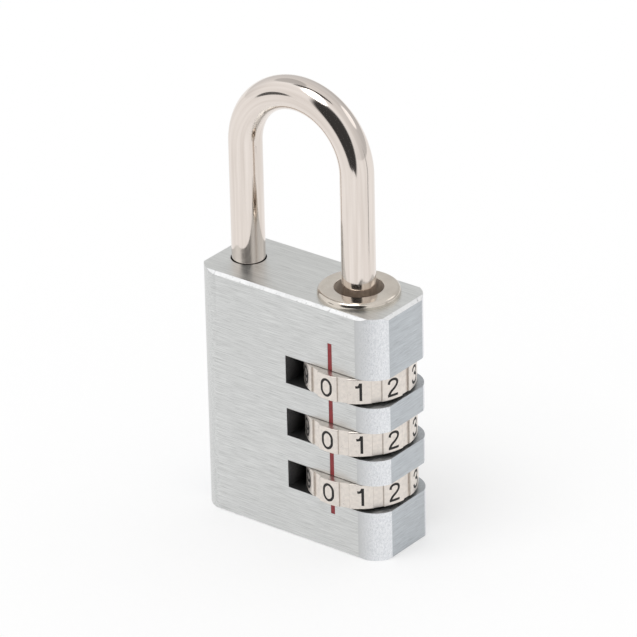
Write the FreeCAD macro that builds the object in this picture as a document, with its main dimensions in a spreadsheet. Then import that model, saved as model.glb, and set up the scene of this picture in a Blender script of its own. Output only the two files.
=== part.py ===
import FreeCAD, Part
import math
import os
import Sketcher

# Driving dimensions of the padlock, in millimetres, with what each one measures
SIZES = {
    "body_width": (30.0, "block, across the front"),
    "body_depth": (12.2, "block, front to back"),
    "body_height": (35.3, "block, bottom to top"),
    "corner_width": (3.65, "rounded corner, measured across the front"),
    "corner_depth": (2.55, "rounded corner, measured along the side"),
    "edge_chamfer": (0.42, "bevel round the top edge of the block"),
    "foot_chamfer": (0.2, "bevel round the bottom edge of the block"),
    "leg_diameter": (4.5, "shackle bar"),
    "leg_spacing": (18.1, "between the centre lines of the two legs"),
    "leg_inset": (7.45, "from the long leg's centre line to the right side"),
    "bow_rise": (16.7, "from the top of the block to the centre of the bow"),
    "toe_depth": (4.5, "length of the short leg inside the block"),
    "toe_clearance": (0.13, "round the toe and under it"),
    "toe_bevel": (0.5, "bevel on the end of the short leg"),
    "lift_margin": (1.5, "how far the open toe stands clear of the block"),
    "slot_height": (4.0, "dial slot, bottom to top"),
    "web_thickness": (3.7, "metal between two dial slots"),
    "slot_base": (7.05, "from the bottom of the block to the lowest slot"),
    "slot_end_gap": (0.18, "between a dial and the blind end of its slot"),
    "dial_across": (14.8, "dial, over its rounded pads"),
    "dial_height": (3.6, "dial, bottom to top"),
    "dial_top_gap": (0.05, "between a dial and the top of its slot"),
    "groove_width": (1.36, "finger groove between two number pads"),
    "groove_depth": (0.3, "finger groove between two number pads"),
    "bore_diameter": (9.0, "main bore of the block, and clear bore of a dial"),
    "spline_clearance": (0.1, "between splines and the bore round them"),
    "spline_depth": (0.45, "height of the splines of sleeve and dial"),
    "spline_width": (1.0, "width of a spline on the sleeve"),
    "dial_spline_width": (1.3, "width of a spline in the dial"),
    "dial_spline_height": (1.7, "upper part of the dial that has splines"),
    "sleeve_spline_height": (1.4, "length of the splines on the sleeve"),
    "running_clearance": (0.05, "between parts that turn or slide in each other"),
    "leg_clearance": (0.08, "between the leg and the holes that guide it"),
    "sleeve_wall": (0.5, "wall of the sleeve round its chamber"),
    "sleeve_drop": (1.65, "how far a sleeve reaches below its dial's slot"),
    "flange_thickness": (1.2, "gate flange inside the sleeve"),
    "fin_height": (2.6, "locking fin on the long leg, bottom to top"),
    "fin_width": (1.5, "locking fin, side to side"),
    "fin_reach": (1.0, "how far a fin stands out of the leg"),
    "fin_gap": (0.3, "between a fin and the flange above it"),
    "fin_lead": (0.4, "between the bottom of a sleeve and the fin in it"),
    "gate_clearance": (0.15, "round the fin in its gate"),
    "collar_across": (10.9, "flange of the collar"),
    "collar_thickness": (0.9, "flange of the collar"),
    "collar_round": (0.45, "rim of the collar's flange, rounded off in two bevels"),
    "collar_opening": (6.5, "hole in the top of the collar"),
    "collar_land": (1.15, "metal between that hole and the stop ring's stop"),
    "ring_thickness": (0.5, "stop ring"),
    "ring_reach": (0.9, "how far the stop ring stands out of the leg"),
    "ring_groove": (0.4, "depth of the stop ring's groove in the leg"),
    "ring_opening": (50.0, "open angle of the stop ring, in degrees"),
    "washer_thickness": (0.5, "clutch washer"),
    "spring_wire": (0.45, "wire of the clutch spring"),
    "spring_turns": (2.0, "turns of the clutch spring"),
    "plug_height": (1.6, "bottom plug"),
    "plug_bevel": (0.25, "bevel round the bottom plug"),
    "detent_depth": (0.3, "detent grooves under the dial"),
    "detent_width": (1.5, "detent grooves under the dial"),
    "detent_edge": (0.35, "metal between a detent groove and the bore of the dial"),
    "detent_rim": (0.95, "metal between a detent groove and a finger groove"),
    "leaf_pocket": (0.45, "pocket in the slot's floor for the leaf spring"),
    "leaf_length": (4.4, "leaf spring, along the dial's rim"),
    "leaf_foot": (0.8, "flat foot at each end of the leaf spring"),
    "leaf_crest": (0.5, "flat crest of the leaf spring"),
    "leaf_thickness": (0.18, "sheet of the leaf spring"),
    "leaf_clearance": (0.08, "round the leaf spring"),
    "index_width": (0.65, "groove for the index line"),
    "index_aside": (0.3, "from the dials' axis to the middle of the index line"),
    "index_depth": (0.1, "groove for the index line"),
    "index_overrun": (3.85, "index line above the top slot"),
    "index_underrun": (1.7, "index line below the lowest slot"),
}

DIAL_COUNT = 3
DIGIT_COUNT = 10
SPLINE_COUNT = 5
FULL_TURN = 360.0

doc = FreeCAD.newDocument("combination_padlock")
sheet = doc.addObject("Spreadsheet::Sheet", "sizes")
for row, (alias, (number, note)) in enumerate(SIZES.items(), 1):
    sheet.set("A%d" % row, note)
    sheet.set("B%d" % row, str(number))
    sheet.setAlias("B%d" % row, alias)
doc.recompute()


class Size:
    """A size that knows its number and the formula that binds it to the sheet."""

    def __init__(self, number, formula):
        self.number = number
        self.formula = formula

    def combine(self, other, sign, number):
        formula = other.formula if isinstance(other, Size) else repr(other)
        return Size(number, "(%s %s %s)" % (self.formula, sign, formula))

    def __add__(self, other):
        return self.combine(other, "+", self.number + plain(other))

    def __sub__(self, other):
        return self.combine(other, "-", self.number - plain(other))

    def __mul__(self, other):
        return self.combine(other, "*", self.number * plain(other))

    def __truediv__(self, other):
        return self.combine(other, "/", self.number / plain(other))

    def __neg__(self):
        return Size(-self.number, "(0 - %s)" % self.formula)


def plain(value):
    return value.number if isinstance(value, Size) else value


def size(alias):
    return Size(getattr(sheet, alias), "sizes." + alias)


ZERO = Size(0.0, "0")

# The block and the two leg axes
half_width = size("body_width") / 2
half_depth = size("body_depth") / 2
top = size("body_height")
leg_radius = size("leg_diameter") / 2
axis_x = half_width - size("leg_inset")
toe_x = axis_x - size("leg_spacing")
bow_radius = size("leg_spacing") / 2
bow_centre = top + size("bow_rise")
lift = size("toe_depth") + size("lift_margin")

# The dials and their slots
pitch = size("slot_height") + size("web_thickness")
dial_radius = size("dial_across") / 2
dial_rise = size("slot_height") - size("dial_top_gap") - size("dial_height")
groove_floor = dial_radius - size("groove_depth")
bore_radius = size("bore_diameter") / 2
slot_reach = dial_radius + size("slot_end_gap")

# The sleeves, with their splines, chambers and gates
spline_tip = bore_radius - size("spline_clearance")
sleeve_radius = spline_tip - size("spline_depth")
chamber_radius = sleeve_radius - size("sleeve_wall")
dial_spline_tip = sleeve_radius + size("running_clearance")
guide_radius = leg_radius + size("leg_clearance")
fin_radius = leg_radius + size("fin_reach")
flange_rise = size("fin_lead") + size("fin_height") + size("fin_gap")
sleeve_length = pitch - size("running_clearance")
spline_slack = (size("dial_spline_height") - size("sleeve_spline_height")) / 2
spline_top = size("sleeve_drop") + dial_rise + size("dial_height") - spline_slack
spline_bottom = spline_top - size("sleeve_spline_height")
stack_bottom = size("slot_base") - size("sleeve_drop")
stack_top = stack_bottom + pitch * DIAL_COUNT

# The shackle's long leg, from its end up to the stop ring
fin_bottom = stack_bottom + size("fin_lead")
leg_end = stack_bottom
ring_bottom = (
    stack_bottom + pitch * (DIAL_COUNT - 1) + flange_rise + size("flange_thickness") + size("fin_gap")
)
ring_top = ring_bottom + size("ring_thickness")
ring_seat = leg_radius - size("ring_groove")
ring_radius = leg_radius + size("ring_reach")
stop_height = ring_top + lift + size("running_clearance")

# The clutch spring's room, between the plug and the washer
washer_bottom = stack_bottom - size("washer_thickness") - size("running_clearance")
spring_radius = (bore_radius + guide_radius) / 2


def bind(item, path, value):
    item.setExpression(path, value.formula)


def new_body(name, x=None, z=None):
    body = doc.addObject("PartDesign::Body", name)
    body.Label = name
    if x is not None:
        bind(body, "Placement.Base.x", x)
    if z is not None:
        bind(body, "Placement.Base.z", z)
    return body


def origin_item(body, role):
    return next(item for item in body.Origin.OriginFeatures if item.Role == role)


def new_sketch(body, plane, name, height=None):
    sketch = body.newObject("Sketcher::SketchObject", name)
    sketch.AttachmentSupport = [(origin_item(body, plane), "")]
    sketch.MapMode = "FlatFace"
    if height is not None:
        bind(sketch, "AttachmentOffset.Base.z", height)
    return sketch


def fix_along(sketch, kind, edge, end, value):
    """Ties one end of an edge, or its centre, to one coordinate in the sketch."""
    if value is ZERO:
        axis = -2 if kind == "DistanceX" else -1
        sketch.addConstraint(Sketcher.Constraint("PointOnObject", edge, end, axis))
        return
    rule = Sketcher.Constraint(kind, -1, 1, edge, end, value.number)
    index = sketch.addConstraint(rule)
    bind(sketch, "Constraints[%d]" % index, value)


def fix_point(sketch, edge, end, x, y):
    fix_along(sketch, "DistanceX", edge, end, x)
    fix_along(sketch, "DistanceY", edge, end, y)


def point(x, y):
    return FreeCAD.Vector(x.number, y.number, 0)


def draw_outline(sketch, corners):
    """Straight edges through the corners, in order, and back to the first."""
    first = sketch.GeometryCount
    count = len(corners)
    for here in range(count):
        there = (here + 1) % count
        line = Part.LineSegment(point(*corners[here]), point(*corners[there]))
        sketch.addGeometry(line, False)
    for here in range(count):
        there = (here + 1) % count
        fix_point(sketch, first + here, 1, *corners[here])
        sketch.addConstraint(Sketcher.Constraint("Coincident", first + here, 2, first + there, 1))


def draw_rectangle(sketch, low_x, high_x, low_y, high_y):
    corners = [(low_x, low_y), (high_x, low_y), (high_x, high_y), (low_x, high_y)]
    draw_outline(sketch, corners)


def draw_circle(sketch, x, y, radius):
    edge = sketch.addGeometry(Part.Circle(point(x, y), FreeCAD.Vector(0, 0, 1), radius.number), False)
    fix_point(sketch, edge, 3, x, y)
    rule = Sketcher.Constraint("Radius", edge, radius.number)
    index = sketch.addConstraint(rule)
    bind(sketch, "Constraints[%d]" % index, radius)


def extrude(body, kind, sketch, name, length=None, symmetric=False, reverse=False):
    feature = body.newObject("PartDesign::" + kind, name)
    feature.Profile = sketch
    feature.Reversed = reverse
    if symmetric:
        feature.SideType = "Symmetric"
    if length is None:
        feature.Type = "ThroughAll"
    else:
        bind(feature, "Length", length)
    sketch.Visibility = False
    return feature


def revolve(body, kind, sketch, name, axis="V_Axis"):
    feature = body.newObject("PartDesign::" + kind, name)
    feature.Profile = sketch
    feature.ReferenceAxis = (sketch, [axis])
    feature.Angle = FULL_TURN
    return feature


def repeat_round(body, feature, name, count):
    pattern = body.newObject("PartDesign::PolarPattern", name)
    pattern.Originals = [feature]
    pattern.Axis = (origin_item(body, "Z_Axis"), [""])
    pattern.Angle = FULL_TURN
    pattern.Occurrences = count
    body.Tip = pattern
    return pattern


def repeat_up(body, feature, name, count):
    pattern = body.newObject("PartDesign::LinearPattern", name)
    pattern.Originals = [feature]
    pattern.Direction = (origin_item(body, "Z_Axis"), [""])
    bind(pattern, "Length", pitch * (count - 1))
    pattern.Occurrences = count
    body.Tip = pattern
    return pattern


def level_edges(feature, height):
    """Names of the feature's edges that lie flat at one height."""
    names = []
    for number, edge in enumerate(feature.Shape.Edges, 1):
        box = edge.BoundBox
        if max(abs(box.ZMin - height), abs(box.ZMax - height)) < 1e-4:
            names.append("Edge%d" % number)
    return names


def bevel(body, base, edges, name, width):
    feature = body.newObject("PartDesign::Chamfer", name)
    feature.Base = (base, edges)
    bind(feature, "Size", width)
    return feature


def draw_block_plan(sketch):
    """The block's plan: flat front and back, flat sides, and four arcs between them."""
    width = size("corner_width")
    depth = size("corner_depth")
    radius = (width * width + depth * depth) / (depth * 2)
    flat_x = half_width - width
    arc_y = half_depth - radius
    ends = []
    for sign_x, sign_y in ((1, -1), (1, 1), (-1, 1), (-1, -1)):
        on_face = (flat_x * sign_x, half_depth * sign_y)
        on_side = (half_width * sign_x, (half_depth - depth) * sign_y)
        start, end = (on_face, on_side) if sign_x * sign_y < 0 else (on_side, on_face)
        centre = (flat_x.number * sign_x, arc_y.number * sign_y)
        ends.append((start, end, centre))
    for corner, (start, end, centre) in enumerate(ends):
        angles = [math.atan2(y.number - centre[1], x.number - centre[0]) for x, y in (start, end)]
        circle = Part.Circle(FreeCAD.Vector(*centre, 0), FreeCAD.Vector(0, 0, 1), radius.number)
        after = ends[(corner + 1) % len(ends)][0]
        sketch.addGeometry(Part.ArcOfCircle(circle, *angles), False)
        sketch.addGeometry(Part.LineSegment(point(*end), point(*after)), False)
    edges = 2 * len(ends)
    for corner, (start, end, centre) in enumerate(ends):
        arc = 2 * corner
        fix_point(sketch, arc, 1, *start)
        fix_point(sketch, arc, 2, *end)
        index = sketch.addConstraint(Sketcher.Constraint("Radius", arc, radius.number))
        bind(sketch, "Constraints[%d]" % index, radius)
        sketch.addConstraint(Sketcher.Constraint("Coincident", arc, 2, arc + 1, 1))
        sketch.addConstraint(Sketcher.Constraint("Coincident", arc + 1, 2, (arc + 2) % edges, 1))


def draw_straight_bevels(sketch, half):
    """Four triangles, which cut both upper and both lower edges of a pair of faces."""
    head = size("edge_chamfer")
    foot = size("foot_chamfer")
    for sign in (1, -1):
        outside = (half + head) * sign
        above = top + head
        draw_outline(sketch, [((half - head * 2) * sign, above), (outside, top - head * 2), (outside, above)])
        outside = (half + foot) * sign
        draw_outline(sketch, [((half - foot * 2) * sign, -foot), (outside, foot * 2), (outside, -foot)])


def leaf_place():
    """The leaf spring's inner and outer distance from the dial's axis."""
    inner = bore_radius + size("detent_edge")
    outer = groove_floor - size("detent_rim")
    return inner, outer


# The block
def make_lock_body():
    body = new_body("lock_body")
    plan = new_sketch(body, "XY_Plane", "block_plan")
    draw_block_plan(plan)
    extrude(body, "Pad", plan, "block", top)
    doc.recompute()

    # The bevels are milled straight, and run out on the rounded corners
    for faces, plane, half in (("long", "YZ_Plane", half_depth), ("short", "XZ_Plane", half_width)):
        triangles = new_sketch(body, plane, faces + "_edges")
        draw_straight_bevels(triangles, half)
        extrude(body, "Pocket", triangles, faces + "_bevels", size("body_width") * 2, symmetric=True)

    bore = new_sketch(body, "XY_Plane", "bore_circle", top)
    draw_circle(bore, axis_x, ZERO, bore_radius)
    extrude(body, "Pocket", bore, "bore")

    toe = new_sketch(body, "XY_Plane", "toe_circle", top)
    draw_circle(toe, toe_x, ZERO, leg_radius + size("toe_clearance"))
    extrude(body, "Pocket", toe, "toe_hole", size("toe_depth") + size("toe_clearance"))

    slot = new_sketch(body, "XZ_Plane", "slot_outline")
    slot_top = size("slot_base") + size("slot_height")
    draw_rectangle(slot, axis_x - slot_reach, half_width * 2, size("slot_base"), slot_top)
    first_slot = extrude(body, "Pocket", slot, "slot", size("body_depth") * 2, symmetric=True)
    repeat_up(body, first_slot, "slots", DIAL_COUNT)

    inner, outer = leaf_place()
    spread = size("leaf_length") / 2 + size("leaf_clearance")
    gap = size("leaf_clearance")
    pocket = new_sketch(body, "XY_Plane", "leaf_outline", size("slot_base"))
    draw_rectangle(pocket, axis_x - outer - gap, axis_x - inner + gap, -spread, spread)
    first_pocket = extrude(body, "Pocket", pocket, "leaf_pocket", size("leaf_pocket"))
    repeat_up(body, first_pocket, "leaf_pockets", DIAL_COUNT)

    index = new_sketch(body, "XZ_Plane", "index_outline", half_depth - size("index_depth"))
    line_x = axis_x - size("index_aside")
    half_line = size("index_width") / 2
    line_top = size("slot_base") + pitch * DIAL_COUNT - size("web_thickness") + size("index_overrun")
    line_bottom = size("slot_base") - size("index_underrun")
    draw_rectangle(index, line_x - half_line, line_x + half_line, line_bottom, line_top)
    extrude(body, "Pocket", index, "index_groove", size("index_depth") * 2, reverse=True)
    return body


# The bent bar, its fins and the groove of its stop ring
def make_shackle():
    body = new_body("shackle", axis_x)
    toe_end = top - size("toe_depth")
    long_leg = new_sketch(body, "XY_Plane", "long_leg_circle", leg_end)
    draw_circle(long_leg, ZERO, ZERO, leg_radius)
    extrude(body, "Pad", long_leg, "long_leg", bow_centre - leg_end)

    bow = new_sketch(body, "XY_Plane", "bow_circle", bow_centre)
    draw_circle(bow, ZERO, ZERO, leg_radius)
    hinge_line = Part.LineSegment(point(-bow_radius, -leg_radius), point(-bow_radius, leg_radius))
    line = bow.addGeometry(hinge_line, True)
    fix_point(bow, line, 1, -bow_radius, -leg_radius)
    fix_point(bow, line, 2, -bow_radius, leg_radius)
    bend = revolve(body, "Revolution", bow, "bow", "Axis0")
    bend.Angle = FULL_TURN / 2
    bend.Reversed = True

    short_leg = new_sketch(body, "XY_Plane", "short_leg_circle", toe_end)
    draw_circle(short_leg, -size("leg_spacing"), ZERO, leg_radius)
    bar = extrude(body, "Pad", short_leg, "short_leg", bow_centre - toe_end)
    doc.recompute()
    bevel(body, bar, level_edges(bar, toe_end.number), "toe_bevel", size("toe_bevel"))
    doc.recompute()

    fin = new_sketch(body, "XZ_Plane", "fin_outline")
    draw_rectangle(fin, -fin_radius, -leg_radius / 2, fin_bottom, fin_bottom + size("fin_height"))
    first_fin = extrude(body, "Pad", fin, "fin", size("fin_width"), symmetric=True)
    repeat_up(body, first_fin, "fins", DIAL_COUNT)

    groove = new_sketch(body, "XZ_Plane", "groove_outline")
    draw_rectangle(groove, ring_seat, leg_radius * 2, ring_bottom, ring_top)
    revolve(body, "Groove", groove, "ring_groove")
    return body


# The turned ring that is pressed into the top of the bore
def make_collar():
    body = new_body("shackle_collar", axis_x)
    outline = new_sketch(body, "XZ_Plane", "collar_outline")
    flange_radius = size("collar_across") / 2
    opening = size("collar_opening") / 2
    flange_top = top + size("collar_thickness")
    well_floor = stop_height + size("collar_land")
    skirt = stack_top
    rim = size("collar_round")
    rim_middle = rim * (1 - math.sqrt(0.5))
    draw_outline(
        outline,
        [
            (chamber_radius, skirt),
            (bore_radius, skirt),
            (bore_radius, top),
            (flange_radius, top),
            (flange_radius, flange_top - rim),
            (flange_radius - rim_middle, flange_top - rim_middle),
            (flange_radius - rim, flange_top),
            (opening, flange_top),
            (opening, well_floor),
            (guide_radius, well_floor),
            (guide_radius, stop_height),
            (chamber_radius, stop_height),
        ],
    )
    revolve(body, "Revolution", outline, "collar_turned")
    return body


# The open ring in the groove of the long leg
def make_stop_ring():
    body = new_body("stop_ring", axis_x)
    outline = new_sketch(body, "XZ_Plane", "ring_outline")
    seat = ring_seat + size("running_clearance")
    play = size("running_clearance") / 2
    draw_rectangle(outline, seat, ring_radius, ring_bottom + play, ring_top - play)
    ring = revolve(body, "Revolution", outline, "ring_turned")
    ring.Angle = FULL_TURN - size("ring_opening").number
    ring.setExpression("Angle", "360 - sizes.ring_opening")
    return body


# One number ring, with grooves between its ten pads, detents below and clutch splines inside
def make_dial(name, slot_floor):
    body = new_body(name, axis_x, slot_floor + dial_rise)
    height = size("dial_height")
    ring = new_sketch(body, "XZ_Plane", name + "_section")
    draw_rectangle(ring, bore_radius, dial_radius, ZERO, height)
    revolve(body, "Revolution", ring, name + "_ring")

    # Digit 0 faces the front, so the first groove is half a step further round
    groove = new_sketch(body, "XY_Plane", name + "_groove")
    half_groove = size("groove_width") / 2
    draw_rectangle(groove, -half_groove, half_groove, -dial_radius * 2, -groove_floor)
    half_step = FreeCAD.Rotation(FreeCAD.Vector(0, 0, 1), FULL_TURN / DIGIT_COUNT / 2)
    groove.AttachmentOffset = FreeCAD.Placement(FreeCAD.Vector(0, 0, 0), half_step)
    first_groove = extrude(body, "Pocket", groove, name + "_groove_cut", reverse=True)
    doc.recompute()
    repeat_round(body, first_groove, name + "_grooves", DIGIT_COUNT)
    doc.recompute()

    spline = new_sketch(body, "XY_Plane", name + "_spline", height - size("dial_spline_height"))
    half_spline = size("dial_spline_width") / 2
    root = -(bore_radius + size("spline_clearance"))
    draw_rectangle(spline, -half_spline, half_spline, root, -dial_spline_tip)
    tooth = extrude(body, "Pad", spline, name + "_tooth", size("dial_spline_height"))
    doc.recompute()
    repeat_round(body, tooth, name + "_teeth", DIGIT_COUNT)
    doc.recompute()

    inner, outer = leaf_place()
    half_detent = size("detent_width") / 2
    detent = new_sketch(body, "XY_Plane", name + "_detent", size("detent_depth"))
    draw_rectangle(detent, -outer, -inner, -half_detent, half_detent)
    notch = extrude(body, "Pocket", detent, name + "_notch", size("detent_depth"))
    doc.recompute()
    repeat_round(body, notch, name + "_notches", DIGIT_COUNT)
    return body


# One clutch sleeve, with splines outside and a gated flange inside
def make_sleeve(name, bottom):
    body = new_body(name, axis_x, bottom)
    flange_top = flange_rise + size("flange_thickness")
    wall = new_sketch(body, "XZ_Plane", name + "_wall")
    draw_outline(
        wall,
        [
            (chamber_radius, ZERO),
            (sleeve_radius, ZERO),
            (sleeve_radius, sleeve_length),
            (chamber_radius, sleeve_length),
            (chamber_radius, flange_top),
            (guide_radius, flange_top),
            (guide_radius, flange_rise),
            (chamber_radius, flange_rise),
        ],
    )
    revolve(body, "Revolution", wall, name + "_turned")

    spline = new_sketch(body, "XY_Plane", name + "_spline", spline_bottom)
    half_spline = size("spline_width") / 2
    start = sleeve_radius - size("sleeve_wall") / 2
    draw_rectangle(spline, start, spline_tip, -half_spline, half_spline)
    tooth = extrude(body, "Pad", spline, name + "_tooth", size("sleeve_spline_height"))
    doc.recompute()
    repeat_round(body, tooth, name + "_teeth", SPLINE_COUNT)
    doc.recompute()

    gate = new_sketch(body, "XY_Plane", name + "_gate", flange_top + size("fin_gap"))
    half_gate = size("fin_width") / 2 + size("gate_clearance")
    draw_rectangle(gate, -(fin_radius + size("gate_clearance")), -leg_radius / 2, -half_gate, half_gate)
    extrude(body, "Pocket", gate, name + "_gate_cut", size("flange_thickness") + size("fin_gap") * 2)
    return body


def make_washer():
    body = new_body("clutch_washer", axis_x, washer_bottom)
    outline = new_sketch(body, "XZ_Plane", "washer_outline")
    draw_rectangle(outline, guide_radius, spline_tip, ZERO, size("washer_thickness"))
    revolve(body, "Revolution", outline, "washer_turned")
    return body


# The coil of square wire between the plug and the washer
def make_clutch_spring():
    body = new_body("clutch_spring", axis_x)
    wire = size("spring_wire")
    floor = size("plug_height") + size("running_clearance")
    section = new_sketch(body, "XZ_Plane", "spring_section")
    draw_rectangle(section, spring_radius - wire / 2, spring_radius + wire / 2, floor, floor + wire)
    doc.recompute()
    coil = body.newObject("PartDesign::AdditiveHelix", "coil")
    coil.Profile = section
    coil.ReferenceAxis = (section, ["V_Axis"])
    coil.Mode = "height-turns-angle"
    bind(coil, "Height", washer_bottom - floor - wire - size("running_clearance"))
    bind(coil, "Turns", size("spring_turns"))
    return body


def make_bottom_plug():
    body = new_body("bottom_plug", axis_x)
    outline = new_sketch(body, "XZ_Plane", "plug_outline")
    edge = size("plug_bevel")
    draw_outline(
        outline,
        [
            (ZERO, ZERO),
            (bore_radius - edge, ZERO),
            (bore_radius, edge),
            (bore_radius, size("plug_height")),
            (ZERO, size("plug_height")),
        ],
    )
    revolve(body, "Revolution", outline, "plug_turned")
    return body


# One bent leaf spring in its pocket, with its crest in a detent of the dial
def make_detent_spring(name, slot_floor):
    pocket_floor = slot_floor - size("leaf_pocket")
    inner, outer = leaf_place()
    body = new_body(name, axis_x - (inner + outer) / 2, pocket_floor)
    end = size("leaf_length") / 2
    heel = end - size("leaf_foot")
    crest = size("leaf_crest") / 2
    sheet_metal = size("leaf_thickness")
    reach = size("leaf_pocket") + dial_rise + size("detent_depth") - size("leaf_clearance")
    under = reach - sheet_metal
    outline = new_sketch(body, "YZ_Plane", name + "_outline")
    draw_outline(
        outline,
        [
            (-end, ZERO),
            (-(heel - sheet_metal / 2), ZERO),
            (-(crest - sheet_metal / 2), under),
            (crest - sheet_metal / 2, under),
            (heel - sheet_metal / 2, ZERO),
            (end, ZERO),
            (end, sheet_metal),
            (heel, sheet_metal),
            (crest, reach),
            (-crest, reach),
            (-heel, sheet_metal),
            (-end, sheet_metal),
        ],
    )
    width = outer - inner - size("leaf_clearance") * 2
    extrude(body, "Pad", outline, name + "_strip", width, symmetric=True)
    return body


bodies = [make_lock_body(), make_shackle(), make_collar(), make_stop_ring()]
for number in range(1, DIAL_COUNT + 1):
    below = DIAL_COUNT - number
    slot_floor = size("slot_base") + pitch * below
    bodies.append(make_dial("dial_%d" % number, slot_floor))
    bodies.append(make_sleeve("sleeve_%d" % number, stack_bottom + pitch * below))
    bodies.append(make_detent_spring("detent_spring_%d" % number, slot_floor))
bodies += [make_washer(), make_clutch_spring(), make_bottom_plug()]
doc.recompute()

for item in doc.Objects:
    if "Invalid" in item.State or "Error" in item.State:
        raise RuntimeError("%s did not build" % item.Label)
for body in bodies:
    if body.Shape.isNull() or not body.Shape.isValid():
        raise RuntimeError("%s has no valid shape" % body.Label)
    print(body.Label, len(body.Shape.Solids), "solid", round(body.Shape.Volume, 2), "mm3")

os.makedirs("parts", exist_ok=True)
for body in bodies:
    body.Shape.exportStep("parts/%s.step" % body.Label)
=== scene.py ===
import math

import bmesh
import bpy
from mathutils import Matrix, Vector


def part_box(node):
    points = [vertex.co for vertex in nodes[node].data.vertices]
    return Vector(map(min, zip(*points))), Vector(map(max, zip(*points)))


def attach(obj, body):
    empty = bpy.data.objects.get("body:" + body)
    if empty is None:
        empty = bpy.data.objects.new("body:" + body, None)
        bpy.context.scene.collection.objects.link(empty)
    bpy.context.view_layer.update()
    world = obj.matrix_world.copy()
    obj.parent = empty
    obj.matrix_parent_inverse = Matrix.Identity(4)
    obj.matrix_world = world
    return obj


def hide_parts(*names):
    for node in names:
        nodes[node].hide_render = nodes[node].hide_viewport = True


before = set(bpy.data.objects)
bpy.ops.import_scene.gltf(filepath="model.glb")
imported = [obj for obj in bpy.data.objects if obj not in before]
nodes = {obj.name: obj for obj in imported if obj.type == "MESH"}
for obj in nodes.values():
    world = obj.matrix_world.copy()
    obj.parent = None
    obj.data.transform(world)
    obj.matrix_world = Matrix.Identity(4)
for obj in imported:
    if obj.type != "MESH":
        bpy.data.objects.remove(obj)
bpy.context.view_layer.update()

mm = 0.001  # sizes below are in millimetres, the scene is in metres
touch = 0.001 * mm  # nearer than this counts as the same place
flatWithin = 0.5  # degrees that faces of one plane may differ by
levelOnly = Vector((1, 1, 0))  # takes the height out of a vector
scene = bpy.context.scene


# small helpers
def linearColour(hexText):
    channels = [int(hexText[i:i + 2], 16) / 255 for i in (1, 3, 5)]
    return [c / 12.92 if c <= 0.04045 else ((c + 0.055) / 1.055) ** 2.4 for c in channels] + [1.0]


def addNode(tree, kind, settings=None, links=None):
    # settings are the values of inputs or properties, links the sockets that feed inputs
    node = tree.nodes.new(kind)
    for key, value in (settings or {}).items():
        if isinstance(key, int) or key in node.inputs:
            node.inputs[key].default_value = value
        else:
            setattr(node, key, value)
    for key, source in (links or {}).items():
        tree.links.new(source, node.inputs[key])
    return node


colourA, colourB, colourOut = 6, 7, 2  # sockets of the Mix node where it mixes colours
noiseLow, noiseHigh = 0.3, 0.7  # nearly all that a noise gives lies between these


def newMaterial(name):
    material = bpy.data.materials.new(name)
    material.use_nodes = True
    tree = material.node_tree
    tree.nodes.clear()
    shader = addNode(tree, "ShaderNodeBsdfPrincipled")
    addNode(tree, "ShaderNodeOutputMaterial", links={"Surface": shader.outputs[0]})
    return material, tree, shader


def noiseAt(tree, lengths, detail=3.0, breakup=0.5, attribute=None):
    # noise whose features are as long as lengths says, in mm along x, y and z
    if attribute:
        place = addNode(tree, "ShaderNodeAttribute", {"attribute_name": attribute}).outputs["Vector"]
    else:
        place = addNode(tree, "ShaderNodeTexCoord").outputs["Object"]
    scaled = addNode(tree, "ShaderNodeMapping", {"Scale": [1 / (n * mm) for n in lengths]},
                     {"Vector": place})
    noise = addNode(tree, "ShaderNodeTexNoise", {"Scale": 1.0, "Detail": detail, "Roughness": breakup},
                    {"Vector": scaled.outputs[0]})
    return noise.outputs[0]


def makeSurface(name, lengths, lowHex, highHex, smoothest, roughest, height, metallic=1.0, detail=3.0,
                breakup=0.5, attribute=None):
    # one grain carries the two tones, the gloss, and a relief of the given height in mm
    material, tree, shader = newMaterial(name)
    grain = noiseAt(tree, lengths, detail, breakup, attribute)
    share = addNode(tree, "ShaderNodeMapRange", {"From Min": noiseLow, "From Max": noiseHigh},
                    {"Value": grain})
    tones = addNode(tree, "ShaderNodeMix", {"data_type": "RGBA", colourA: linearColour(lowHex),
                                            colourB: linearColour(highHex)}, {"Factor": share.outputs[0]})
    tree.links.new(tones.outputs[colourOut], shader.inputs["Base Color"])
    relief = addNode(tree, "ShaderNodeBump", {"Strength": 1.0, "Distance": height * mm}, {"Height": grain})
    tree.links.new(relief.outputs[0], shader.inputs["Normal"])
    shader.inputs["Metallic"].default_value = metallic
    if smoothest == roughest:
        shader.inputs["Roughness"].default_value = roughest
    else:
        gloss = addNode(tree, "ShaderNodeMapRange", {"From Min": noiseLow, "From Max": noiseHigh,
                                                     "To Min": smoothest, "To Max": roughest},
                        {"Value": grain})
        tree.links.new(gloss.outputs[0], shader.inputs["Roughness"])
    return material


def layOver(material, share, hexText):
    # another tone over the surface's own, as much of it as share says
    tree = material.node_tree
    base = next(node for node in tree.nodes if node.type == "BSDF_PRINCIPLED").inputs["Base Color"]
    mixed = addNode(tree, "ShaderNodeMix", {"data_type": "RGBA", colourB: linearColour(hexText)},
                    {"Factor": share, colourA: base.links[0].from_socket})
    tree.links.new(mixed.outputs[colourOut], base)


# materials
brushSettings = {
    "detail": 5.0, "breakup": 0.68, "smoother": 0.06, "rougher": 0.08,
    # the deeper scratches: finer than the grain, dark, and on a small part of the face
    "scratchTone": "#6f7070", "scratchLength": 0.45, "scratchDetail": 2.0,
    "scratchFrom": 0.58, "scratchFull": 0.74, "scratchShare": 0.42,
}
metalGloss = (0.8, 1.25)  # plated, drawn or turned metal: how far its roughness varies
paintRelief = 0.01  # mm


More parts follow.
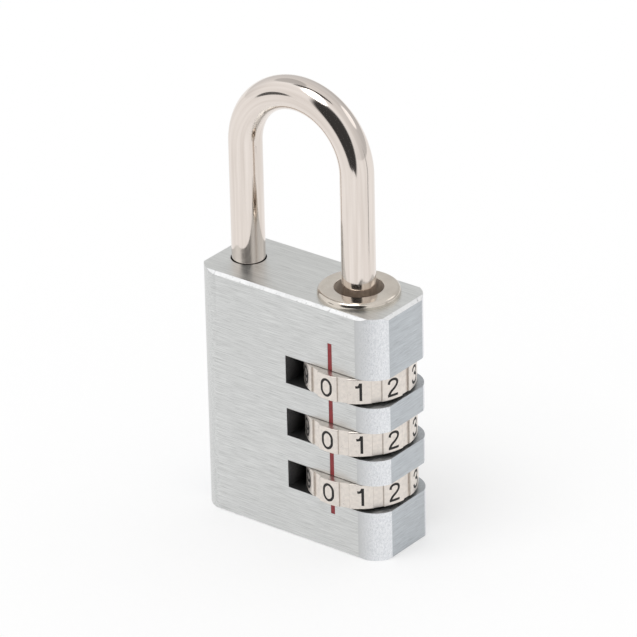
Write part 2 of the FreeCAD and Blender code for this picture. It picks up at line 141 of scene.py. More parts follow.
def brushedAluminium(name, lengths, lowHex, highHex, roughness, height):
    s = brushSettings
    material = makeSurface(name, lengths, lowHex, highHex, roughness - s["smoother"],
                           roughness + s["rougher"], height, detail=s["detail"], breakup=s["breakup"])
    tree = material.node_tree
    scratch = noiseAt(tree, [n * s["scratchLength"] for n in lengths], s["scratchDetail"])
    deep = addNode(tree, "ShaderNodeMapRange", {"From Min": s["scratchFrom"], "From Max": s["scratchFull"],
                                                "To Max": s["scratchShare"]}, {"Value": scratch})
    layOver(material, deep.outputs[0], s["scratchTone"])
    return material


def changeTone(material, hexText, fromX, toX):
    # the surface turns to another tone along x, from none of it at fromX to all of it at toX
    tree = material.node_tree
    place = addNode(tree, "ShaderNodeTexCoord").outputs["Object"]
    along = addNode(tree, "ShaderNodeSeparateXYZ", links={"Vector": place}).outputs["X"]
    share = addNode(tree, "ShaderNodeMapRange", {"From Min": toX * mm, "From Max": fromX * mm,
                                                 "To Min": 1.0, "To Max": 0.0}, {"Value": along})
    layOver(material, share.outputs[0], hexText)


def plainMetal(name, lengths, lowHex, highHex, roughness, height, metallic=1.0, attribute=None):
    smoothest, roughest = (roughness * n for n in metalGloss)
    return makeSurface(name, lengths, lowHex, highHex, smoothest, roughest, height, metallic,
                       attribute=attribute)


def fillPaint(name, grit, lowHex, highHex, roughness):
    return makeSurface(name, (grit, grit, grit), lowHex, highHex, roughness, roughness, paintRelief,
                       metallic=0.0)


# Extruded aluminium, brushed with an abrasive belt: fine streaks that run one way on each face, with a
# soft highlight across them. The belt's scratches are about 0.03 mm apart, drawn at 0.12 to 0.15 mm,
# because finer ones wouldn't show. Lengths are in mm along x, y and z.
frontAluminium = brushedAluminium("brushedAluminiumFront", (4.5, 0.13, 0.12), "#bcbdbc", "#e6e7e6",
                                  0.36, 0.005)
# the side: the same aluminium with painted shade, a darker and bluer tone than the front's
shadedSideAluminium = brushedAluminium("brushedAluminiumSide", (0.13, 3.0, 0.12), "#adb1b5", "#cacfd3",
                                 0.34, 0.004)
# the top: the same aluminium with painted light, a paler tone than the front's
litTopAluminium = brushedAluminium("brushedAluminiumTop", (7.0, 0.14, 0.15), "#d0d1cf", "#ecedeb",
                                0.38, 0.004)
# the same metal where the belt only grazed the round corners: a short frosty grain, with painted light that
# makes it paler than the faces, palest to the right and greyer towards the front
litCornerAluminium = brushedAluminium("brushedAluminiumCorner", (0.22, 0.22, 0.35), "#d5d8dc", "#fafbfd",
                                   0.44, 0.008)
changeTone(litCornerAluminium, "#c3c4c4", fromX=13.6, toX=11.2)
# cut by the mill after brushing: a clean pale line along the edge, with the mill's faint chatter
bevelAluminium = brushedAluminium("millCutBevel", (1.2, 1.2, 1.2), "#dcdddd", "#f2f2f2", 0.40, 0.003)
# milled slots: dull and ringed by the cutter every 0.1 mm or so, with painted shade that greys them towards
# the closed end
shadedSlotAluminium = brushedAluminium("milledSlot", (0.5, 0.5, 0.1), "#a8acaf", "#c4c8cb", 0.40, 0.004)
changeTone(shadedSlotAluminium, "#87888a", fromX=5.5, toX=2.5)
# the slots' closed ends and the bores: a dark grey painted on as shade
shadedSlotEnd = brushedAluminium("paintedShadeSlotEnd", (0.4, 0.4, 0.2), "#6a6b6d", "#8c8d8f", 0.55, 0.004)
# hardened steel bar, polished and nickel plated: a warm mirror with faint draw marks along the bar,
# half a millimetre wide so that they show
barNickel = plainMetal("polishedNickelBar", (0.5, 0.5, 14.0), "#d8cec6", "#e9e0d9", 0.09, 0.0006,
                       attribute="straightBar")
# turned steel, nickel plated: a warm mirror that the lathe left a little softer, in patches of 2 mm,
# because its turning marks are too fine to show
collarNickel = plainMetal("turnedNickelCollar", (2.0, 2.0, 2.0), "#d3cabf", "#ded6cb", 0.16, 0.001)
# plating that no polishing tool reaches, down in the collar's well: cream, dull and even
wellNickel = plainMetal("unpolishedNickelWell", (1.0, 1.0, 1.0), "#c9bfb5", "#dcd3c9", 0.5, 0.002,
                        metallic=0.35)
# cast zinc rings, tumbled and satin nickel plated: a pale warm sheen, uneven by the half millimetre
# where the tumbling stones met it
dialNickel = plainMetal("satinNickelDial", (0.5, 0.5, 0.5), "#d8d1ca", "#ece4dc", 0.34, 0.003)
# the walls of their finger grooves: duller, with a darker tone painted on as shade, a line beside each pad
shadedGrooveNickel = plainMetal("grooveWallPaintedShade", (0.3, 0.3, 0.3), "#c4bbb2", "#d8d0c7", 0.5, 0.003,
                          metallic=0.3)
# free-cutting brass off the lathe: yellow, with a soft gloss and tool marks of half a millimetre
sleeveBrass = plainMetal("machinedBrass", (0.5, 0.5, 0.5), "#b99a55", "#c9ab68", 0.30, 0.002)
# bright drawn spring steel: cool grey, with a soft gloss and draw marks of half a millimetre
springSteel = plainMetal("brightSpringSteel", (0.5, 0.5, 0.5), "#8b8d90", "#a3a5a8", 0.30, 0.002)
# paint wiped into the engraving and dried: matt black in the numerals, a deep red in the line; its
# pigment is too fine to show, so the grain is drawn at 0.15 and 0.25 mm
numeralInk = fillPaint("blackFillInk", 0.15, "#0c0a09", "#1c1816", 0.6)
indexRed = fillPaint("redFillPaint", 0.25, "#7c1a20", "#96262b", 0.42)
print("materials done")


# helpers for pieces
def setMaterial(node, material):
    node.data.materials.clear()
    node.data.materials.append(material)


def mergedShape(nodeName):
    # the CAD node's mesh with its vertices merged and its flat faces whole again
    shape = bmesh.new()
    shape.from_mesh(nodes[nodeName].data)
    bmesh.ops.remove_doubles(shape, verts=shape.verts, dist=touch / 2)
    bmesh.ops.dissolve_limit(shape, angle_limit=math.radians(flatWithin), verts=shape.verts,
                             edges=shape.edges)
    return shape


def addBox(shape, size, middle):
    made = bmesh.ops.create_cube(shape, size=1.0)
    bmesh.ops.scale(shape, verts=made["verts"], vec=Vector(size) * mm)
    bmesh.ops.translate(shape, verts=made["verts"], vec=Vector(middle) * mm)


def linkPiece(shape, pieceName, smoothUpTo=0):
    mesh = bpy.data.meshes.new(pieceName)
    shape.to_mesh(mesh)
    shape.free()
    piece = bpy.data.objects.new(pieceName, mesh)
    scene.collection.objects.link(piece)
    if smoothUpTo:
        for polygon in mesh.polygons:
            polygon.use_smooth = True
        mesh.set_sharp_from_angle(angle=math.radians(smoothUpTo))
    return piece


def breakEdges(piece, width, segments=2, **limits):
    bevel = piece.modifiers.new("brokenEdges", "BEVEL")
    bevel.width = width * mm
    bevel.segments = segments
    bevel.harden_normals = True
    for key, value in limits.items():
        setattr(bevel, key, value)


# the block: the CAD form, with its edges broken and a finish for each kind of face
blockSettings = {
    "edge": 0.04, "edgeFrom": 35, "smoothUpTo": 20,
    "level": 0.95, "slanted": 0.1, "square": 0.9995,  # how much of a face's normal lies along an axis
    "skin": 0.1, "onFace": 0.05, "cornersFromX": 11, "cornersFromY": 3,
}
blockMetals = {"front": frontAluminium, "side": shadedSideAluminium, "top": litTopAluminium,
               "corner": litCornerAluminium, "bevel": bevelAluminium, "slot": shadedSlotAluminium,
               "shadedSlotEnd": shadedSlotEnd}
blockLow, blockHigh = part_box("lock_body")


def blockZone(polygon):
    s = blockSettings
    x, y, z = polygon.center / mm
    normalX, normalY, normalZ = polygon.normal
    sideX, faceY, topZ = blockHigh / mm
    if abs(normalZ) > s["level"]:
        return "top" if z > topZ - s["skin"] or z < s["skin"] else "slot"
    if abs(normalZ) > s["slanted"]:
        return "bevel"
    if min(abs(abs(y) - faceY), abs(abs(x) - sideX)) < s["onFace"]:
        if abs(normalY) > s["square"]:
            return "front"
        if abs(normalX) > s["square"]:
            return "side"
    outwards = normalX * x > 0 and normalY * y > 0
    if outwards and abs(x) > s["cornersFromX"] and abs(y) > s["cornersFromY"]:
        # the right corner takes the painted light; the left one keeps the front's tone
        return "corner" if x > 0 else "front"
    # painted shade on everything else: the slots' closed ends and the bores
    return "shadedSlotEnd"  # and the bores


def makeBlock():
    s = blockSettings
    piece = linkPiece(mergedShape("lock_body"), "block", smoothUpTo=s["smoothUpTo"])
    breakEdges(piece, s["edge"], limit_method="ANGLE", angle_limit=math.radians(s["edgeFrom"]))
    for material in blockMetals.values():
        piece.data.materials.append(material)
    zones = list(blockMetals)
    for polygon in piece.data.polygons:
        polygon.material_index = zones.index(blockZone(polygon))
    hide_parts("lock_body")
    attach(piece, "lock_body")


makeBlock()
print("block done")


# the red line in its groove, broken by the slots
indexSettings = {"width": 0.65, "aside": 0.3, "depth": 0.1, "fill": 0.07, "edge": 0.015,
                 "low": 5.35, "high": 30.3,
                 "slotFloor": 7.05, "slotHeight": 4.0, "pitch": 7.7, "count": 3}  # the dials' slots


def makeIndexLine():
    s = indexSettings
    dialLow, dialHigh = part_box("dial_1")
    lineX = (dialLow.x + dialHigh.x) / 2 / mm - s["aside"]
    lineY = blockLow.y / mm + s["depth"] - s["fill"] / 2
    floors = [s["slotFloor"] + s["pitch"] * i for i in range(s["count"])]
    starts = [s["low"]] + [floor + s["slotHeight"] for floor in floors]
    ends = floors + [s["high"]]
    shape = bmesh.new()
    for start, end in zip(starts, ends):
        addBox(shape, (s["width"], s["fill"], end - start), (lineX, lineY, (start + end) / 2))
    bmesh.ops.bevel(shape, geom=shape.edges[:], offset=s["edge"] * mm, affect="EDGES", segments=1,
                    profile=0.5, material=-1)
    piece = linkPiece(shape, "index_line")
    setMaterial(piece, indexRed)
    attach(piece, "lock_body")


makeIndexLine()
print("index line done")


# the bar: one round section drawn from the toe over the bow to the end of the long leg
barSettings = {"radius": 2.25, "segments": 64, "bowSteps": 72, "smoothUpTo": 30,
               "toeDepth": 4.5, "toeRound": 0.5, "toeSteps": 5,
               "grooveDepth": 0.4, "grooveLow": 25.6, "grooveHigh": 26.1,
               "finLows": (5.8, 13.5, 21.2), "finHeight": 2.6, "finWidth": 1.5, "finReach": 1.0,
               "finRoot": 1.0}


def pullEnd(shape, edges, rise, grow=0.0):
    # draws the open end of the bar on along z, and widens its radius by grow
    made = bmesh.ops.extrude_edge_only(shape, edges=edges)["geom"]
    corners = [item for item in made if isinstance(item, bmesh.types.BMVert)]
    middle = sum((corner.co for corner in corners), Vector()) / len(corners)
    wider = 1 + grow * mm / (corners[0].co - middle).length
    bmesh.ops.scale(shape, verts=corners, vec=(wider, wider, 1), space=Matrix.Translation(-middle))
    bmesh.ops.translate(shape, verts=corners, vec=(0, 0, rise * mm))
    return [item for item in made if isinstance(item, bmesh.types.BMEdge) and item.is_boundary]


def makeBar():
    s = barSettings
    low, high = (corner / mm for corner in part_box("shackle"))
    radius = s["radius"]
    longX, toeX = high.x - radius, low.x + radius
    bowX, bowRadius = (longX + toeX) / 2, (longX - toeX) / 2
    bowZ = high.z - bowRadius - radius
    toeEnd = blockHigh.z / mm - s["toeDepth"]
    shape = bmesh.new()
    toe = bmesh.ops.create_circle(shape, cap_ends=True, segments=s["segments"], radius=radius * mm)
    bmesh.ops.translate(shape, verts=toe["verts"], vec=(toeX * mm, 0, toeEnd * mm))
    toeEdges = shape.edges[:]
    pullEnd(shape, toeEdges, bowZ - toeEnd)
    bmesh.ops.bevel(shape, geom=toeEdges, offset=s["toeRound"] * mm, affect="EDGES",
                    segments=s["toeSteps"], profile=0.5, material=-1)
    edges = [edge for edge in shape.edges if edge.is_boundary]
    bow = bmesh.ops.spin(shape, geom=edges, cent=(bowX * mm, 0, bowZ * mm), axis=(0, 1, 0),
                         angle=math.pi, steps=s["bowSteps"], use_duplicate=False)
    edges = [item for item in bow["geom_last"] if isinstance(item, bmesh.types.BMEdge)]
    longLeg = ((s["grooveHigh"] - bowZ, 0), (0, -s["grooveDepth"]), (s["grooveLow"] - s["grooveHigh"], 0),
               (0, s["grooveDepth"]), (low.z - s["grooveLow"], 0))
    for rise, grow in longLeg:
        edges = pullEnd(shape, edges, rise, grow)
    bmesh.ops.holes_fill(shape, edges=edges, sides=s["segments"])
    finX = longX - radius + (s["finRoot"] - s["finReach"]) / 2
    for finLow in s["finLows"]:
        addBox(shape, (s["finReach"] + s["finRoot"], s["finWidth"], s["finHeight"]),
               (finX, 0, finLow + s["finHeight"] / 2))
    bmesh.ops.recalc_face_normals(shape, faces=shape.faces[:])
    straight = shape.verts.layers.float_vector.new("straightBar")  # places on the bar before it was bent
    for vertex in shape.verts:
        x, y, z = vertex.co / mm
        turn = math.atan2(max(z - bowZ, 0), bowX - x)
        reach = math.hypot(max(z - bowZ, 0), bowX - x) - bowRadius
        below = math.copysign(max(bowZ - z, 0), x - bowX)
        vertex[straight] = Vector((reach, y, bowZ - toeEnd + bowRadius * turn + below)) * mm
    piece = linkPiece(shape, "bar", smoothUpTo=s["smoothUpTo"])
    setMaterial(piece, barNickel)
    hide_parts("shackle")
    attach(piece, "shackle")


makeBar()
print("bar done")


# the collar: turned, with a rolled rim round the flange and a dull well
collarSettings = {
    "segments": 96, "smoothUpTo": 35, "rim": 0.6, "rimSteps": 6, "lip": 0.12, "lipSteps": 3,
    "sleeve": 4.5, "bore": 3.45, "guide": 2.33, "well": 3.25, "wellReach": 3.3,  # radii
    "shoulder": 32.15, "wellFloor": 33.3,  # heights
}


def roundOver(radius, steps):
    # how far a quarter round stands in from the two faces that it joins
    for step in range(steps + 1):
        angle = math.radians(90 * step / steps)
        yield radius * (1 - math.cos(angle)), radius * (1 - math.sin(angle))


def makeCollar():
    s = collarSettings
    low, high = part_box("shackle_collar")
    axis = Vector(((low.x + high.x) / 2, 0, 0))
    flange = (high.x - low.x) / 2 / mm
    lowZ, topZ, seatZ = low.z / mm, high.z / mm, blockHigh.z / mm
    section = [(s["bore"], lowZ), (s["sleeve"], lowZ), (s["sleeve"], seatZ), (flange, seatZ)]
    section += [(flange - side, topZ - down) for side, down in roundOver(s["rim"], s["rimSteps"])]
    section += [(s["well"] + side, topZ - down) for down, side in roundOver(s["lip"], s["lipSteps"])]
    section += [(s["well"], s["wellFloor"]), (s["guide"], s["wellFloor"]),
                (s["guide"], s["shoulder"]), (s["bore"], s["shoulder"])]
    shape = bmesh.new()
    ring = [shape.verts.new((r * mm, 0, z * mm)) for r, z in section]
    edges = [shape.edges.new((here, after)) for here, after in zip(ring, ring[1:] + ring[:1])]
    bmesh.ops.spin(shape, geom=ring + edges, cent=(0, 0, 0), axis=(0, 0, 1), angle=math.tau,
                   steps=s["segments"], use_merge=True, use_duplicate=False)
    bmesh.ops.recalc_face_normals(shape, faces=shape.faces[:])
    bmesh.ops.translate(shape, verts=shape.verts[:], vec=axis)
    piece = linkPiece(shape, "collar", smoothUpTo=s["smoothUpTo"])
    piece.data.materials.append(collarNickel)
    piece.data.materials.append(wellNickel)
    for polygon in piece.data.polygons:
        reach = ((polygon.center - axis) * levelOnly).length
        inWell = reach < s["wellReach"] * mm and polygon.center.z < (topZ - s["lip"]) * mm
        polygon.material_index = int(inWell)
    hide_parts("shackle_collar")
    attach(piece, "lock_body")


makeCollar()
print("collar done")


# numerals: strokes given by their centre lines, on a field one high
numeralSettings = {"height": 2.55, "widen": 1.15, "stroke": 0.36, "relief": 0.012, "centre": 0.3,
                   "roundness": 2, "curveSteps": 6, "straightParts": 6}
digitStrokes = {
    0: [("closed", [(0.30, 0.95), (0.10, 0.80), (0.05, 0.50), (0.10, 0.20), (0.30, 0.05), (0.50, 0.20),
                    (0.55, 0.50), (0.50, 0.80)])],
    1: [("corners", [(0.36, 0.0), (0.36, 1.0)]),
        ("smooth", [(0.12, 0.77), (0.27, 0.80), (0.35, 0.97)])],
    2: [("smooth", [(0.07, 0.70), (0.12, 0.87), (0.30, 0.95), (0.49, 0.86), (0.52, 0.69), (0.40, 0.48),
                    (0.18, 0.27), (0.07, 0.07)]),
        ("corners", [(0.02, 0.05), (0.56, 0.05)])],
    3: [("smooth", [(0.08, 0.74), (0.14, 0.89), (0.29, 0.95), (0.47, 0.86), (0.48, 0.66), (0.25, 0.54)]),
        ("smooth", [(0.26, 0.55), (0.50, 0.43), (0.54, 0.24), (0.30, 0.05), (0.12, 0.12), (0.06, 0.28)])],
    4: [("corners", [(0.43, 0.0), (0.43, 0.97), (0.05, 0.28), (0.58, 0.28)])],
    5: [("corners", [(0.52, 0.95), (0.16, 0.95), (0.09, 0.50)]),
        ("smooth", [(0.10, 0.51), (0.28, 0.60), (0.48, 0.51), (0.54, 0.31), (0.46, 0.12), (0.28, 0.05),
                    (0.11, 0.11), (0.06, 0.24)])],
    6: [("smooth", [(0.51, 0.76), (0.45, 0.90), (0.31, 0.95), (0.12, 0.80), (0.06, 0.48), (0.10, 0.17),
                    (0.30, 0.05), (0.49, 0.15), (0.54, 0.33), (0.46, 0.51), (0.30, 0.59), (0.13, 0.50),
                    (0.07, 0.38)])],
    7: [("corners", [(0.05, 0.95), (0.55, 0.95)]),
        ("smooth", [(0.54, 0.93), (0.36, 0.62), (0.25, 0.30), (0.20, 0.0)])],
    8: [("closed", [(0.30, 0.95), (0.13, 0.87), (0.12, 0.65), (0.30, 0.55), (0.48, 0.65), (0.47, 0.87)]),
        ("closed", [(0.30, 0.55), (0.09, 0.42), (0.08, 0.16), (0.30, 0.05), (0.52, 0.16), (0.51, 0.42)])],
}
# a 9 is a 6 turned upside down
digitStrokes[9] = [(form, [(2 * numeralSettings["centre"] - x, 1 - y) for x, y in points])
                   for form, points in digitStrokes[6]]


def strokeMesh(digit):
    # flattened round strokes that stand on the XZ plane and rise from it by the paint's relief
    s = numeralSettings
    curve = bpy.data.curves.new("digit", "CURVE")
    curve.dimensions = "3D"
    curve.bevel_depth = s["stroke"] / 2 * mm
    curve.bevel_resolution = s["roundness"]
    curve.resolution_u = s["curveSteps"]
    curve.use_fill_caps = True
    for form, points in digitStrokes[digit]:
        if form == "corners":  # more knots on straight strokes, so that they bend with the ring
            ends = [Vector(point) for point in points]
            parts = [part / s["straightParts"] for part in range(s["straightParts"])]
            points = [a.lerp(b, part) for a, b in zip(ends, ends[1:]) for part in parts] + [ends[-1]]
        spline = curve.splines.new("BEZIER")
        spline.bezier_points.add(len(points) - 1)
        for knot, (x, y) in zip(spline.bezier_points, points):
            knot.co = Vector(((x - s["centre"]) * s["widen"], 0, y - 0.5)) * s["height"] * mm
            knot.handle_left_type = knot.handle_right_type = "VECTOR" if form == "corners" else "AUTO"
        spline.use_cyclic_u = form == "closed"
    holder = bpy.data.objects.new("digit", curve)
    scene.collection.objects.link(holder)
    bpy.context.view_layer.update()
    mesh = bpy.data.meshes.new_from_object(holder.evaluated_get(bpy.context.evaluated_depsgraph_get()))
    bpy.data.objects.remove(holder)
    bpy.data.curves.remove(curve)
    shape = bmesh.new()
    shape.from_mesh(mesh)
    rims = [vertex for vertex in shape.verts if vertex.is_boundary]
    bmesh.ops.remove_doubles(shape, verts=rims, dist=touch / 2)  # the caps join their strokes
    bmesh.ops.scale(shape, verts=shape.verts[:], vec=(1, s["relief"] / (s["stroke"] / 2), 1))
    shape.to_mesh(mesh)
    shape.free()
    return mesh


digitMeshes = [strokeMesh(digit) for digit in range(10)]
print("numerals drawn")


# number rings: the CAD form with its pads made rounder, its rims rolled and its numerals laid on
ringSettings = {
    "padRadius": 7.396, "pads": 10, "pitch": 36,  # degrees from pad to pad
    "facets": (-9, -6, -3, 0, 3, 6, 9), "facetSlack": 0.05, "flatLine": 20,  # degrees
    "rim": 0.25, "rimSegments": 3, "padEdge": 0.07, "sharpFrom": 30,
    "padsFrom": 7.3, "wallsFrom": 7.0,  # radii outside which the pads and the groove walls lie
    "tall": 0.1,  # an edge that rises by more is an upright one
    "lift": 0.1, "outwards": 0.5,  # the most of a groove wall's normal that points up or outwards
}


def facetPads(shape, axis):
    # cuts the pads into narrow facets and sets them out to the true radius; gives each of their
    # vertices its angle from the middle of its pad
    s = ringSettings
    for pad in range(s["pads"] // 2):  # each plane cuts the opposite pad as well
        for facet in s["facets"]:
            angle = math.radians(s["pitch"] * pad + facet)
            bmesh.ops.bisect_plane(shape, geom=shape.verts[:] + shape.edges[:] + shape.faces[:],
                                   plane_co=axis, plane_no=(math.cos(angle), math.sin(angle), 0),
                                   dist=touch / 10)
    onPads = {}
    for vertex in shape.verts:
        outward = (vertex.co - axis) * levelOnly
        if outward.length > s["padsFrom"] * mm:
            turn = math.degrees(math.atan2(outward.x, -outward.y))
            onPads[vertex] = (turn + s["pitch"] / 2) % s["pitch"] - s["pitch"] / 2
            outward.length = (s["padRadius"] - numeralSettings["relief"]) * mm
            vertex.co = Vector((axis.x + outward.x, axis.y + outward.y, vertex.co.z))
    return onPads


def dropOwnLines(shape, onPads):
    # the CAD mesh's own lines between the new ones go: slivers beside them would stop the bevel
    s = ringSettings
    ownLines = []
    for edge in shape.edges:
        first, second = edge.verts
        if first not in onPads or second not in onPads:
            continue
        upright = abs(first.co.z - second.co.z) > s["tall"] * mm
        onFacet = min(abs(onPads[first] - facet) for facet in s["facets"]) <= s["facetSlack"]
        if upright and not onFacet and edge.calc_face_angle(0) < math.radians(s["flatLine"]):
            ownLines.append(edge)
    bmesh.ops.dissolve_edges(shape, edges=ownLines, use_verts=True)


def weighEdges(shape, onPads, low, high):
    # the bevel is full on the rims of the pads and narrow on their other edges
    s = ringSettings
    weights = shape.edges.layers.float.new("bevel_weight_edge")
    for edge in shape.edges:
        outer = [vertex in onPads for vertex in edge.verts]
        if any(outer) and edge.calc_face_angle(0) >= math.radians(s["sharpFrom"]):
            level = [min(abs(vertex.co.z - z) for z in (low.z, high.z)) < touch for vertex in edge.verts]
            edge[weights] = 1.0 if all(level) and all(outer) else s["padEdge"] / s["rim"]


def makeRing(name, pieceName, axis, low, high):
    s = ringSettings
    shape = mergedShape(name)
    onPads = facetPads(shape, axis)
    dropOwnLines(shape, onPads)
    weighEdges(shape, onPads, low, high)
    piece = linkPiece(shape, pieceName, smoothUpTo=s["sharpFrom"])
    piece.data.materials.append(dialNickel)
    piece.data.materials.append(shadedGrooveNickel)
    # the groove walls take the second metal, with its painted shade
    for polygon in piece.data.polygons:
        outward = (polygon.center - axis) * levelOnly
        upright = abs(polygon.normal.z) < s["lift"]
        sideways = abs(polygon.normal.dot(outward.normalized())) < s["outwards"]
        polygon.material_index = int(upright and sideways and outward.length > s["wallsFrom"] * mm)
    breakEdges(piece, s["rim"], segments=s["rimSegments"], limit_method="WEIGHT")
    return piece


def makeNumerals(pieceName, axis):
    # each digit is bent round the ring: its x becomes an angle, and the paint stands out from the pad
    radius = ringSettings["padRadius"]
    shape = bmesh.new()
    for digit, mesh in enumerate(digitMeshes):
        placed = mesh.copy()
        for vertex in placed.vertices:
            angle = digit * math.radians(ringSettings["pitch"]) + vertex.co.x / (radius * mm)
            reach = (radius - numeralSettings["relief"]) * mm - vertex.co.y
            vertex.co = Vector((math.sin(angle) * reach, -math.cos(angle) * reach, vertex.co.z)) + axis
        shape.from_mesh(placed)
        bpy.data.meshes.remove(placed)
    piece = linkPiece(shape, pieceName)
    setMaterial(piece, numeralInk)
    return piece


def makeDial(number):
    name = "dial_%d" % number
    low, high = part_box(name)
    axis = Vector(((low.x + high.x) / 2, 0, (low.z + high.z) / 2))
    ring = makeRing(name, "ring_%d" % number, axis, low, high)
    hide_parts(name)
    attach(ring, name)
    numerals = makeNumerals("numerals_%d" % number, axis)
    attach(numerals, name)


for dialNumber in (1, 2, 3):
    makeDial(dialNumber)
print("number rings done")


# the pieces inside keep their CAD form and get their metals
innerMetals = {"sleeve_1": sleeveBrass, "sleeve_2": sleeveBrass, "sleeve_3": sleeveBrass,
               "stop_ring": springSteel, "clutch_washer": springSteel, "clutch_spring": springSteel,
               "detent_spring_1": springSteel, "detent_spring_2": springSteel,
               "detent_spring_3": springSteel, "bottom_plug": litTopAluminium}
for nodeName, material in innerMetals.items():
    setMaterial(nodes[nodeName], material)
print("inner pieces done")


# camera, as the photograph was taken: angles in degrees
cameraSettings = {"azimuth": 38.07, "elevation": 26.77, "roll": -1.3, "distance": 700.0,
                  "aim": (0.67, 0.17, 29.44), "lens": 303.8, "sensor": 36,
                  "nearest": 0.01, "farthest": 50}  # metres


def makeCamera():
    s = cameraSettings
    camera = bpy.data.cameras.new("camera")
    camera.lens = s["lens"]
    camera.sensor_width = s["sensor"]
    camera.clip_start = s["nearest"]
    camera.clip_end = s["farthest"]
    holder = bpy.data.objects.new("camera", camera)
    scene.collection.objects.link(holder)
    turn = Matrix.Rotation(math.radians(s["azimuth"]), 4, "Z")
    tilt = Matrix.Rotation(math.radians(90 - s["elevation"]), 4, "X")
    roll = Matrix.Rotation(math.radians(s["roll"]), 4, "Z")
    back = Matrix.Translation((0, 0, s["distance"] * mm))
    holder.matrix_world = Matrix.Translation(Vector(s["aim"]) * mm) @ turn @ tilt @ roll @ back
    scene.camera = holder


makeCamera()


# floor, lamp and world
stageSettings = {
    "floor": (-0.4, -0.17, 0.09, 0.4),  # west, south, east and north edge, in metres
    "floorGlow": 0.4,  # share of the paper's white that shadows don't take
    "skyStrength": 0.76,  # light from all round on rough surfaces
    "sunStrength": 0.82, "sunAngle": 34, "sunAzimuth": -14, "sunElevation": 68,
    # what polished metal mirrors: walls and ceiling, palest at brightest, dimmer on the far side
    "brightest": (-10, 35), "brightStrength": 1.0, "farStrength": 0.62, "brightSpread": 0.6,
    "gapEdge": 0.15,  # softness of the gaps' edges
}
# dark gaps between the softboxes, and one bright window: azimuth and elevation of both ends, half the
# width in degrees, strength
studioGaps = {
    "upperBack": ((-128, 50), (-84, 46), 20, 0.60),
    "roomBehindTheCamera": ((15, -24), (30, 60), 34, 0.05),
    "brightWindow": ((128, 33), (166, 33), 11, 1.3),
    "overhead": ((-73, 55), (111, 71), 6, 0.08),
    "lowLeft": ((-52, -3), (-34, -2), 7, 0.12),
    "farRight": ((113, -50), (113, 12), 3, 0.45),
}


def directionOf(azimuth, elevation):
    a, e = math.radians(azimuth), math.radians(elevation)
    return Vector((math.sin(a) * math.cos(e), -math.cos(a) * math.cos(e), math.sin(e)))


def makeFloor():
    # matt white paper: even and pale, with a soft shadow
    s = stageSettings
    shape = bmesh.new()
    west, south, east, north = s["floor"]
    places = ((west, south), (east, south), (east, north), (west, north))
    shape.faces.new([shape.verts.new((x, y, 0)) for x, y in places])
    floor = linkPiece(shape, "floor")
    material, tree, shader = newMaterial("whitePaper")
    paper = 1 - s["floorGlow"]
    shader.inputs["Base Color"].default_value = (paper, paper, paper, 1)
    shader.inputs["Emission Color"].default_value = (1, 1, 1, 1)
    shader.inputs["Emission Strength"].default_value = s["floorGlow"]
    shader.inputs["Roughness"].default_value = 1.0
    shader.inputs["Specular IOR Level"].default_value = 0.0
    setMaterial(floor, material)


def makeLamp():
    s = stageSettings
    light = bpy.data.lights.new("keySoftbox", "SUN")
    light.energy = s["sunStrength"]
    light.angle = math.radians(s["sunAngle"])
    holder = bpy.data.objects.new("keySoftbox", light)
    scene.collection.objects.link(holder)
    towards = directionOf(s["sunAzimuth"], s["sunElevation"])
    holder.rotation_euler = towards.to_track_quat("Z", "Y").to_euler()


def gapShare(tree, direction, start, end, halfWidth):
    # 1 inside the oval gap and 0 outside, measured along and across the line between its ends
    first, last = directionOf(*start), directionOf(*end)
    middle = (first + last).normalized()
    along = (last - first).normalized()
    across = middle.cross(along)
    squares = []
    for axis, half in ((along, first.angle(last) / 2), (across, math.radians(halfWidth))):
        part = addNode(tree, "ShaderNodeVectorMath", {"operation": "DOT_PRODUCT", 1: axis / math.sin(half)},
                       {0: direction}).outputs["Value"]
        square = addNode(tree, "ShaderNodeMath", {"operation": "MULTIPLY"}, {0: part, 1: part})
        squares.append(square.outputs[0])
    away = addNode(tree, "ShaderNodeMath", {"operation": "ADD"}, {0: squares[0], 1: squares[1]}).outputs[0]
    edge = stageSettings["gapEdge"]
    inside = addNode(tree, "ShaderNodeMapRange", {"From Min": 1 - edge, "From Max": 1 + edge,
                                                  "To Min": 1.0, "To Max": 0.0}, {"Value": away})
    facing = addNode(tree, "ShaderNodeVectorMath", {"operation": "DOT_PRODUCT", 1: middle}, {0: direction})
    ahead = addNode(tree, "ShaderNodeMath", {"operation": "GREATER_THAN", 1: 0.0},
                    {0: facing.outputs["Value"]})
    share = addNode(tree, "ShaderNodeMath", {"operation": "MULTIPLY"},
                    {0: inside.outputs[0], 1: ahead.outputs[0]})
    return share.outputs[0]


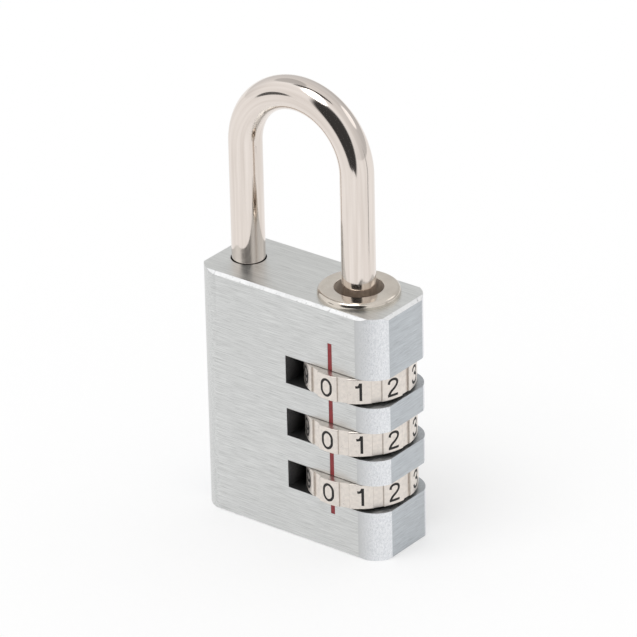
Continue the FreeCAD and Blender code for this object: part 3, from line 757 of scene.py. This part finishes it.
def makeWorld():
    s = stageSettings
    world = bpy.data.worlds.new("studio")
    scene.world = world
    world.use_nodes = True
    tree = world.node_tree
    tree.nodes.clear()
    direction = addNode(tree, "ShaderNodeTexCoord").outputs["Generated"]
    bright = addNode(tree, "ShaderNodeVectorMath",
                     {"operation": "DOT_PRODUCT", 1: directionOf(*s["brightest"])}, {0: direction})
    sides = addNode(tree, "ShaderNodeMapRange",
                    {"From Min": -s["brightSpread"], "From Max": s["brightSpread"],
                     "To Min": s["farStrength"], "To Max": s["brightStrength"]},
                    {"Value": bright.outputs["Value"]})
    upward = addNode(tree, "ShaderNodeSeparateXYZ", links={"Vector": direction}).outputs["Z"]
    table = addNode(tree, "ShaderNodeMath", {"operation": "LESS_THAN", 1: 0.0}, {0: upward})
    # the white table goes on past the paper
    walls = addNode(tree, "ShaderNodeMath", {"operation": "MAXIMUM"},
                    {0: sides.outputs[0], 1: table.outputs[0]}).outputs[0]
    for start, end, halfWidth, strength in studioGaps.values():
        share = gapShare(tree, direction, start, end, halfWidth)
        walls = addNode(tree, "ShaderNodeMix", {"data_type": "FLOAT", "B": strength},
                        {"Factor": share, "A": walls}).outputs[0]
    # white to the camera and through glass, the sky's strength on rough faces, the walls in mirrors
    path = addNode(tree, "ShaderNodeLightPath")
    seen = addNode(tree, "ShaderNodeMath", {"operation": "MAXIMUM"},
                   {0: path.outputs["Is Camera Ray"], 1: path.outputs["Is Transmission Ray"]})
    rough = addNode(tree, "ShaderNodeMath", {"operation": "MULTIPLY_ADD", 1: s["skyStrength"]},
                    {0: path.outputs["Is Diffuse Ray"], 2: seen.outputs[0]})
    mirrored = addNode(tree, "ShaderNodeMath", {"operation": "MULTIPLY_ADD"},
                       {0: path.outputs["Is Glossy Ray"], 1: walls, 2: rough.outputs[0]})
    background = addNode(tree, "ShaderNodeBackground", {"Color": (1, 1, 1, 1)},
                         {"Strength": mirrored.outputs[0]})
    addNode(tree, "ShaderNodeOutputWorld", links={"Surface": background.outputs[0]})


makeFloor()
makeLamp()
makeWorld()
scene.view_settings.view_transform = "Standard"
print("camera and stage done")

bpy.context.view_layer.update()
